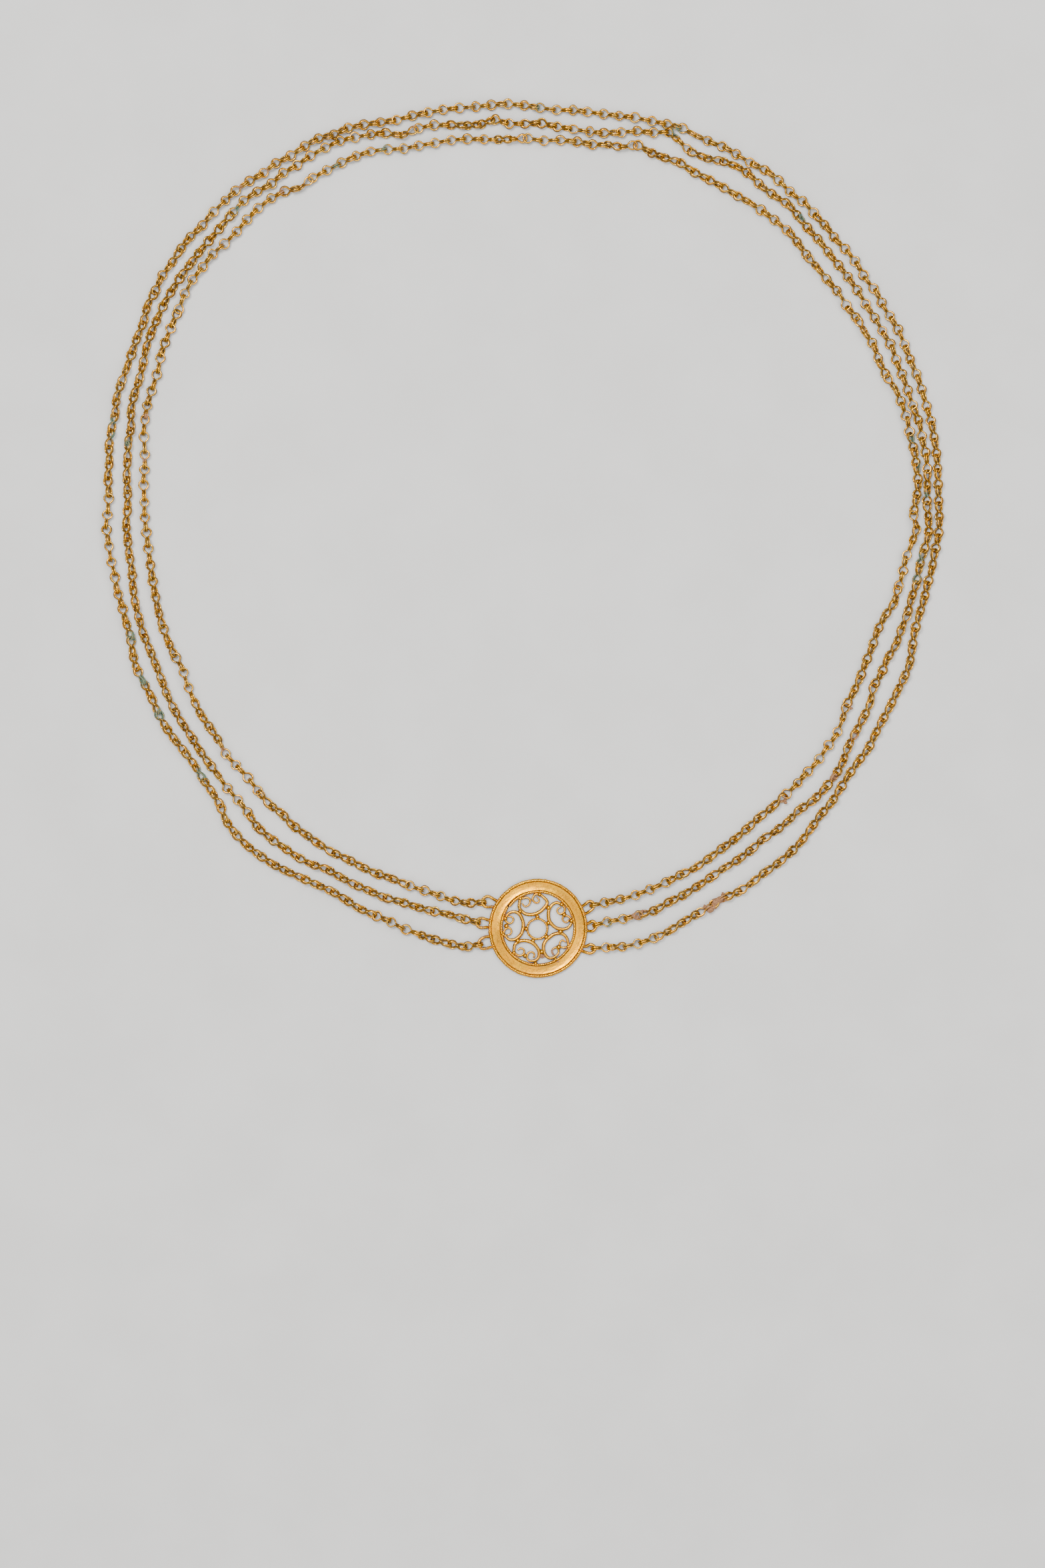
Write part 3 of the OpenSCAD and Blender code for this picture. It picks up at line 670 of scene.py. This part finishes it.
# Routes of the strands as in the solids: on a grid whose origin is left of and behind the necklace,
# with Y to the front, on which the medallion is 148.7 units across.
ROUTE_UNIT = 17 / 148.7
ROUTE_MEDALLION_AT = np.array([807, 1392])
ROUTES = {
    "outer": [
        (1000, 1397), (1050, 1367), (1100, 1340), (1150, 1307), (1200, 1264), (1225, 1233),
        (1250, 1197), (1279, 1154), (1300, 1125), (1324, 1077), (1343, 1046), (1355, 1020),
        (1365, 991), (1374, 939), (1384, 905), (1391, 872), (1400, 840), (1407, 800), (1409, 750),
        (1406, 700), (1400, 650), (1387, 600), (1370, 550), (1349, 500), (1324, 455), (1300, 418),
        (1252, 356), (1203, 304), (1152, 261), (1101, 231), (1050, 207), (1000, 186), (950, 177),
        (900, 170), (850, 166), (800, 160), (750, 156), (700, 161), (650, 168), (600, 178),
        (550, 187), (500, 200), (450, 225), (400, 256), (350, 291), (294, 350), (255, 400),
        (228, 450), (209, 500), (190, 550), (177, 600), (168, 650), (164, 700), (162, 750),
        (162, 800), (169, 850), (180, 900), (193, 950), (205, 1000), (230, 1050), (255, 1100),
        (294, 1150), (327, 1200), (354, 1250), (400, 1290), (450, 1316), (500, 1338), (550, 1368),
        (600, 1389)],
    "middle": [
        (1000, 1356), (1050, 1325), (1100, 1294), (1150, 1254), (1200, 1216), (1225, 1193),
        (1250, 1168), (1264, 1140), (1279, 1106), (1299, 1068), (1310, 1035), (1331, 991),
        (1351, 944), (1369, 893), (1380, 843), (1391, 800), (1391, 750), (1389, 700), (1382, 650),
        (1367, 600), (1349, 550), (1327, 500), (1300, 459), (1275, 420), (1249, 388), (1197, 324),
        (1149, 284), (1100, 248), (1050, 235), (1030, 218), (1008, 205), (980, 200), (950, 198),
        (900, 198), (850, 193), (800, 186), (765, 187), (734, 184), (700, 188), (650, 189),
        (620, 200), (600, 203), (550, 203), (500, 217), (450, 244), (400, 279), (350, 320),
        (322, 350), (284, 400), (249, 450), (228, 500), (215, 550), (200, 600), (194, 650),
        (192, 700), (191, 750), (191, 800), (196, 850), (203, 900), (216, 950), (236, 1000),
        (255, 1050), (284, 1100), (318, 1150), (358, 1200), (399, 1250), (450, 1286), (500, 1308),
        (550, 1335), (600, 1353)],
    "inner": [
        (1000, 1321), (1050, 1295), (1100, 1259), (1150, 1216), (1200, 1171), (1250, 1110),
        (1265, 1075), (1276, 1050), (1288, 1020), (1300, 989), (1312, 960), (1331, 922),
        (1343, 893), (1352, 865), (1362, 830), (1372, 800), (1374, 750), (1374, 700), (1365, 650),
        (1352, 600), (1336, 569), (1317, 535), (1307, 514), (1284, 483), (1265, 450), (1247, 428),
        (1221, 395), (1195, 365), (1173, 343), (1150, 322), (1125, 306), (1100, 292), (1050, 263),
        (1000, 238), (950, 220), (900, 217), (850, 212), (800, 210), (750, 209), (700, 210),
        (650, 216), (600, 224), (550, 229), (500, 251), (450, 277), (400, 303), (349, 354),
        (304, 400), (275, 450), (254, 500), (239, 547), (223, 600), (218, 650), (217, 700),
        (216, 750), (220, 800), (227, 850), (236, 900), (248, 950), (271, 1000), (291, 1050),
        (320, 1100), (356, 1150), (401, 1200), (450, 1245), (500, 1278), (550, 1303), (600, 1322)]}
# Folds of the first links on the right, and the last places on the left, before and after the route
RIGHT_ENDS = {
    "outer": [(9.1, -3.45), (11.82, -3.24), (14.62, -3.15), (17.4, -2.75)],
    "middle": [(9.38, 0.45), (11.98, 1.15), (14.65, 1.62), (17.4, 2.1)],
    "inner": [(8.9, 3.88), (11.7, 4.45), (14.5, 5.05), (17.2, 5.9)]}
LEFT_ENDS = {
    "outer": [(-18.2, -1.9), (-15.3, -2.6), (-12.4, -3.2), (-9.45, -2.6)],
    "middle": [(-18.2, 3.1), (-15.9, 2.55), (-13.1, 1.7), (-9.88, 0.96)],
    "inner": [(-18.2, 6.0), (-15.3, 4.95), (-12.1, 4.3), (-8.9, 4.5)]}
# How the links are rolled about the strand's line, on the routes' grid: x, y, degrees
ROLLS = {
    "outer": [
        (886, 1422, 6), (962, 1412, 10), (975, 1405, 48), (1200, 1264, 50), (1365, 991, 48),
        (1391, 872, 42), (1409, 750, 38), (1387, 600, 38), (1345, 495, 25), (1305, 425, 12),
        (1290, 405, 20), (1252, 356, 32), (1175, 280, 32), (1147, 261, 30), (1125, 243, 14),
        (1075, 217, 12), (1048, 206, 24), (1040, 202, -28), (1000, 186, -25), (900, 170, -22),
        (740, 157, -14), (600, 178, -25), (500, 200, -38), (430, 236, -34), (400, 256, -18),
        (340, 300, -20), (294, 350, -42), (228, 450, -40), (168, 650, -38), (163, 735, -34),
        (162, 755, -10), (168, 838, 8), (173, 860, 24), (193, 950, 38), (230, 1050, 50),
        (400, 1290, 50), (555, 1372, 46), (566, 1376, 8), (622, 1400, -6), (630, 1404, -44),
        (700, 1420, -40), (712, 1420, -8)],
    "middle": [
        (889, 1388, 6), (945, 1376, 8), (962, 1370, 44), (1100, 1294, 52), (1310, 1035, 50),
        (1391, 800, 44), (1382, 650, 36), (1355, 560, 30), (1340, 525, 12), (1290, 445, 12),
        (1275, 420, 34), (1149, 284, 40), (1040, 225, 35), (1020, 212, -30), (900, 198, -24),
        (800, 186, 28), (750, 187, -36), (650, 189, -24), (550, 203, -20), (360, 310, -22),
        (322, 350, -40), (228, 500, -40), (192, 700, -44), (236, 1000, -48), (318, 1150, -44),
        (328, 1163, -8), (362, 1205, 6), (374, 1222, 24), (400, 1250, 44), (550, 1335, 46),
        (690, 1378, 40), (712, 1384, 26)],
    "inner": [
        (885, 1358, 5), (985, 1330, 8), (998, 1322, 50), (1150, 1216, 48), (1172, 1196, 40),
        (1190, 1180, -8), (1262, 1085, 6), (1275, 1055, 46), (1331, 922, 42), (1347, 880, 10),
        (1366, 820, 12), (1374, 760, 42), (1365, 650, 40), (1317, 535, 32), (1265, 450, 28),
        (1195, 365, 34), (1100, 292, 12), (1060, 268, 34), (960, 224, 28), (940, 219, -24),
        (780, 209, -16), (700, 210, -12), (600, 224, -14), (455, 275, -20), (349, 354, -12),
        (275, 450, -16), (223, 600, -6), (217, 700, 6), (222, 820, -8), (230, 850, -38),
        (262, 985, -42), (282, 1030, 8), (292, 1052, 44), (322, 1104, 40), (334, 1122, 8),
        (376, 1174, -6), (388, 1186, -44), (600, 1322, -40), (622, 1328, -8), (660, 1344, 8),
        (672, 1346, 40), (694, 1352, 14), (712, 1352, 50)]}
# Where the links turn end for end. They start on the right with their folds to the medallion.
TURNS = {
    "outer": [(1180, 1278), (1044, 205), (240, 430)],
    "middle": [(1160, 1245), (1100, 250), (345, 325), (322, 1156), (380, 1230)],
    "inner": [(1180, 1190), (1120, 303), (262, 470), (287, 1040), (382, 1180)]}
# Kinks where links are twisted together: x, y, sideways reach towards the neck, roll of the link
KINKS = {
    "outer": [],
    "middle": [(1034, 220, 0.8, 75), (1008, 206, -0.6, -40), (733, 184, -0.9, 70),
               (719, 187, 0.6, -50), (625, 198, -0.6, 60)],
    "inner": [(1273, 1063, 0.5, 75), (1343, 904, -0.5, -60), (1375, 797, -0.5, 60),
              (1374, 781, 0.9, -70), (1336, 572, 0.5, 80), (1290, 490, -0.5, -60),
              (1218, 392, 0.4, 70), (1190, 359, -0.5, 50), (946, 219, -0.8, 75),
              (932, 218, 0.7, -70), (779, 210, -0.8, 70), (764, 209, 0.6, -60),
              (455, 276, 0.7, 80)]}
# Crust and verdigris on the chains, on the routes' grid: x, y, reach
CHAIN_CRUST = [(955, 1374, 10), (966, 1366, 6), (1058, 1360, 6), (1068, 1362, 8), (1080, 1349, 11),
               (1175, 1200, 7), (1250, 1165, 8), (1278, 1060, 6), (1283, 1105, 8), (335, 1125, 6),
               (400, 257, 6), (360, 282, 6), (423, 287, 6), (220, 625, 6), (217, 690, 5),
               (620, 190, 5)]
CHAIN_GREEN = [(575, 220, 10), (168, 632, 9), (172, 655, 8), (200, 955, 12), (215, 1020, 12),
               (240, 1070, 12), (305, 1160, 12), (810, 162, 8), (1015, 198, 10), (1203, 327, 8),
               (1226, 344, 8), (1365, 566, 7), (1369, 659, 8), (1379, 700, 7), (1378, 837, 9),
               (1374, 867, 8), (1388, 743, 6), (505, 250, 7), (357, 315, 7), (222, 575, 8),
               (192, 665, 6), (932, 1396, 7), (913, 1385, 6)]


def from_grid(x, y):
    return (x - ROUTE_MEDALLION_AT[0]) * ROUTE_UNIT, (ROUTE_MEDALLION_AT[1] - y) * ROUTE_UNIT


def spots_from_grid(spots):
    return [(*from_grid(x, y), reach * ROUTE_UNIT) for x, y, reach in spots]


crust_spots, green_spots = spots_from_grid(CHAIN_CRUST), spots_from_grid(CHAIN_GREEN)


def strand_line(name):
    """The strand's middle line at a close even spacing, before its kinks."""
    route = (np.array(ROUTES[name]) - ROUTE_MEDALLION_AT) * (ROUTE_UNIT, -ROUTE_UNIT)
    points = np.concatenate([RIGHT_ENDS[name], route, LEFT_ENDS[name]])
    return smooth_curve(points, LINE_STEP)


def along_at(line, x, y):
    """How far along the line it comes nearest to a place on the routes' grid."""
    px, py = from_grid(x, y)
    return LINE_STEP * np.argmin(np.hypot(line[:, 0] - px, line[:, 1] - py))


def link_line(length, fold_r, loop_r, pair):
    """A link's middle line about its own axis: one ring of wire, pinched long and folded double.
    Its fold starts at x = 0 and its two loops, one on the other, end at x = length."""
    rise = np.radians([0, 32, 62, 90, 116, 140])
    fold_half, loop_half = 0.245 * length, 0.22 * length
    fold = [(fold_half * (1 - math.cos(a)), pair, fold_r * math.sin(a)) for a in rise]
    # The two loops part a little towards their ends
    loop = [(length - loop_half * (1 - math.cos(a)), loop_r * math.sin(a),
             TIP_LAYER + (WAIST_LAYER - TIP_LAYER) * a / rise[-1]) for a in rise[::-1]]
    neck = [(0.53 * length, pair, WAIST_LAYER)]
    # A quarter of the ring, and then the other three, each the mirror of the one before
    q = np.array(fold + neck + loop)
    full = np.concatenate([q[:-1], (q * (1, -1, 1))[:0:-1],
                           (q * (1, -1, -1))[:-1], (q * (1, 1, -1))[:0:-1]])
    full = full + RNG.normal(0, 0.012, full.shape)
    return smooth_curve(full, LINK_STEP, closed=True)


def stand_link(sheet, fold, tip, roll):
    """Adds a link with its fold's end at one place and its loops' ends at another. At roll 0 its
    loops lie flat, and a positive roll lifts their left side, seen from the fold."""
    length = np.linalg.norm(tip - fold)
    line = link_line(length, FOLD_R * RNG.normal(1, 0.03),
                     LOOP_R * np.clip(RNG.normal(1, 0.05), 0.9, 1.1),
                     WAIST_PAIR * RNG.normal(1, 0.03))
    line = even(np.concatenate([line, line[:1]]), LINK_STATIONS, closed=True)
    radius = LINK_WIRE_D / 2 * (1 + wander(LINK_STATIONS, 6, 0.02))
    verts, faces, out, _ = wire(line, radius, LINK_SIDES, closed=True)
    # Painted shade between the two wires of a pair, most at the waist, and between the two layers
    x, y, z = verts.T
    waist = np.exp(-((x / length - 0.48) / 0.26) ** 2)
    between = np.clip(-np.sign(y) * out[:, 1], 0, 1) * (np.abs(y) < 0.36)
    layers = np.clip(-np.sign(z) * out[:, 2], 0, 1) * (np.abs(z) < 0.36)
    recess = np.clip(0.1 + 0.9 * np.maximum(between * (0.5 + 0.5 * waist), 0.85 * layers), 0, 1)
    # The link is rolled about its own axis, turned to its heading and lifted clear of the floor
    c, s = math.cos(math.radians(roll)), math.sin(math.radians(roll))
    rolled = np.stack([x, c * y - s * z, s * y + c * z], axis=1)
    rolled_out = np.column_stack([out[:, :2], s * out[:, 1] + c * out[:, 2]])
    # Painted shade down the sides and below of the rolled link
    recess = np.maximum(recess, 0.85 * painted_flank_shade(rolled_out))
    ahead = (tip - fold) / length
    to_left = np.array([-ahead[1], ahead[0]])
    level = rolled[:, :1] * ahead + rolled[:, 1:2] * to_left + fold
    placed = np.column_stack([level, rolled[:, 2] + max(LINK_Z, -rolled[:, 2].min())])
    sheet.add(placed, faces, recess=recess, tone=np.clip(RNG.normal(0.2, 0.25), 0, 1),
              crust=near(placed, crust_spots), green=near(placed, green_spots))


def make_strand(name):
    """All the links of one strand, from the medallion's loop on the right to that on the left."""
    sheet = Sheet()
    line = strand_line(name)
    place = [along_at(line, x, y) for x, y, _ in ROLLS[name]]
    rolls = [roll for _, _, roll in ROLLS[name]]
    turns = [along_at(line, x, y) for x, y in TURNS[name]]
    kinks = [(along_at(line, x, y), reach, roll) for x, y, reach, roll in KINKS[name]]
    along = lengths_along(line)
    ahead = unit(np.gradient(line, axis=0))
    to_left = np.column_stack([-ahead[:, 1], ahead[:, 0]])
    for at, reach, _ in kinks:
        line = line + reach * np.exp(-((along[:, None] - at) / KINK_REACH) ** 2) * to_left
    # The joints between links, evenly along the kinked line. At both ends they stay on it.
    kinked_along = lengths_along(line)
    length = kinked_along[-1]
    links = round((length - HOOK) / LINK_PITCH)
    at = np.linspace(0, length - HOOK, links + 1)
    joints = np.stack([np.interp(at, kinked_along, line[:, k]) for k in (0, 1)], axis=1)
    sway = RNG.normal(0, SWAY, joints.shape)
    sway[:3] = sway[-3:] = 0
    joints = joints + sway
    at = np.interp(at, kinked_along, along)
    for i in range(links):
        middle = (at[i] + at[i + 1]) / 2
        roll = np.interp(middle, place, rolls) + RNG.normal(0, ROLL_SPREAD)
        for kink, _, kinked in kinks:
            if abs(kink - middle) < LINK_PITCH / 2:
                roll = kinked
        start = joints[i]
        end = joints[i + 1] + HOOK * unit(joints[i + 1] - start)
        if np.searchsorted(turns, middle) % 2:
            start, end = end, start
        stand_link(sheet, start, end, roll)
    stands_for = [f"{name}_{side}_link_{i}" for side in ("right", "left") for i in (1, 2)]
    sheet.piece(f"{name}_chain", chain_gold, "chain_gold", [f"{name}_strand", *stands_for])


for strand in ROUTES:
    make_strand(strand)


# Lumps of crust

# On the medallion: x, y, reach, height of the middle
MEDALLION_LUMPS = [(0.72, -4.62, 0.3, 0.5), (0.95, -4.85, 0.24, 0.44), (0.5, -4.85, 0.24, 0.44),
                   (0.72, -4.95, 0.22, 0.4), (5.3, -3.45, 0.22, 0.5), (5.02, -3.42, 0.2, 0.48),
                   (3.15, -5.62, 0.24, 0.5), (3.45, -5.68, 0.22, 0.5), (2.62, -4.45, 0.2, 0.56),
                   (2.45, -4.12, 0.19, 0.58), (2.36, -3.85, 0.17, 0.58)]
# On the chains, on the routes' grid: x, y, reach in millimetres, how many
CHAIN_LUMPS = [(1057, 1359, 0.36, 2), (1066, 1364, 0.6, 3), (1071, 1358, 0.6, 3),
               (1075, 1352, 0.75, 4), (1080, 1348, 0.65, 3), (1085, 1342, 0.42, 2),
               (1088, 1349, 0.36, 2), (950, 1373, 0.36, 2), (955, 1375, 0.45, 3),
               (963, 1367, 0.32, 2), (1178, 1203, 0.28, 2), (1251, 1166, 0.3, 2),
               (1276, 1062, 0.28, 2), (1281, 1100, 0.26, 1), (336, 1124, 0.26, 1),
               (456, 278, 0.24, 1)]


def chunk(at, reach, height):
    """A rough lump of crust: a ball with flats broken off it and a pitted skin."""
    verts, faces = ball(1.0, 16, 24)
    for way in unit(RNG.normal(0, 1, (6, 3))):
        verts = verts - np.clip(verts @ way - RNG.uniform(0.8, 0.97), 0, 1)[:, None] * way
    for pitch, depth in ((3, 0.05), (7, 0.02)):
        for way in unit(RNG.normal(0, 1, (3, 3))):
            verts = verts * (1 + depth * np.sin(pitch * verts @ way + 6 * RNG.random()))[:, None]
    turn = RNG.uniform(0, 2 * np.pi)
    c, s = math.cos(turn), math.sin(turn)
    x, y, z = (verts * (reach, 0.75 * reach, height)).T
    return np.column_stack([c * x - s * y, s * x + c * y, z]) + at, faces


def make_crust():
    sheet = Sheet()
    for x, y, reach, z in MEDALLION_LUMPS:
        sheet.add(*chunk((x, y, z), 1.1 * reach, 0.12))
    for x, y, reach, count in CHAIN_LUMPS:
        x, y = from_grid(x, y)
        for _ in range(count):
            dx, dy = RNG.normal(0, 0.1, 2)
            size = reach * RNG.uniform(0.85, 1.1)
            at = (x + dx, y + dy, LOOP_TIP_Z + RNG.uniform(-0.1, 0.15))
            sheet.add(*chunk(at, size, min(0.8 * size, 0.5)))
    sheet.piece("mineral_crust", mineral_crust, "chain_gold")


make_crust()


# Floor, light and camera

FLOOR_HALF = 1.5
# Soft lights: place, width, power in watts, colour
WHITE = (1, 1, 1)
LIGHTS = {
    "key": ((-0.195, 0.18, 0.74), 0.28, 5.0, (1, 0.99, 0.96)),
    "top": ((0, 0, 1.05), 1.0, 2.6, WHITE),
    "fill": ((0.38, -0.2, 0.6), 0.5, 2.0, WHITE),
    "back": ((0.24, 0.42, 0.6), 0.5, 1.9, WHITE),
    "front": ((-0.22, -0.46, 0.6), 0.5, 1.7, WHITE)}
SKY_COLOUR, SKY_STRENGTH = (0.95, 0.97, 1, 1), 0.18


def make_floor():
    n = Nodes("pale_paper")
    clouds = n.spread(n.noise(PAPER_CLOUDS), 0.3, 0.7)
    n.link(n.blend(clouds, PALE_PAPER, PALER_PAPER), n.shader.inputs["Base Color"])
    n.shader.inputs["Roughness"].default_value = 0.75
    mesh = bpy.data.meshes.new("floor")
    corners = [(FLOOR_HALF * x, FLOOR_HALF * y, 0) for x, y in ((-1, -1), (1, -1), (1, 1), (-1, 1))]
    mesh.from_pydata(corners, [], [(0, 1, 2, 3)])
    mesh.materials.append(n.material)
    floor = bpy.data.objects.new("floor", mesh)
    bpy.context.scene.collection.objects.link(floor)


def make_light():
    for name, (at, size, power, colour) in LIGHTS.items():
        light = bpy.data.lights.new(name, "AREA")
        light.size, light.energy, light.color = size, power, colour
        obj = bpy.data.objects.new(name, light)
        obj.location = at
        obj.rotation_euler = (-obj.location).to_track_quat("-Z", "Y").to_euler()
        bpy.context.scene.collection.objects.link(obj)
    world = bpy.data.worlds.new("studio")
    world.use_nodes = True
    sky = world.node_tree.nodes["Background"].inputs
    sky["Color"].default_value, sky["Strength"].default_value = SKY_COLOUR, SKY_STRENGTH
    bpy.context.scene.world = world


# The camera looks straight down. The view is 1568 x 2352 units of the photograph, in which the
# medallion is 148.7 units across and its centre stands at (807.1, 1392.3).
VIEW_W, VIEW_H = 1568, 2352
VIEW_MEDALLION_AT = (807.1, 1392.3)
CAMERA_HEIGHT, SENSOR_HEIGHT = 0.75, 36


def make_camera():
    camera = bpy.data.cameras.new("camera")
    camera.sensor_fit = "VERTICAL"
    camera.sensor_height = SENSOR_HEIGHT
    camera.lens = SENSOR_HEIGHT * CAMERA_HEIGHT / (VIEW_H * ROUTE_UNIT * MM)
    camera.clip_start = 0.01
    obj = bpy.data.objects.new("camera", camera)
    x = CENTRE[0] + (VIEW_W / 2 - VIEW_MEDALLION_AT[0]) * ROUTE_UNIT
    y = CENTRE[1] + (VIEW_MEDALLION_AT[1] - VIEW_H / 2) * ROUTE_UNIT
    obj.location = (x * MM, y * MM, CAMERA_HEIGHT)
    bpy.context.scene.collection.objects.link(obj)
    bpy.context.scene.camera = obj


make_floor()
make_light()
make_camera()
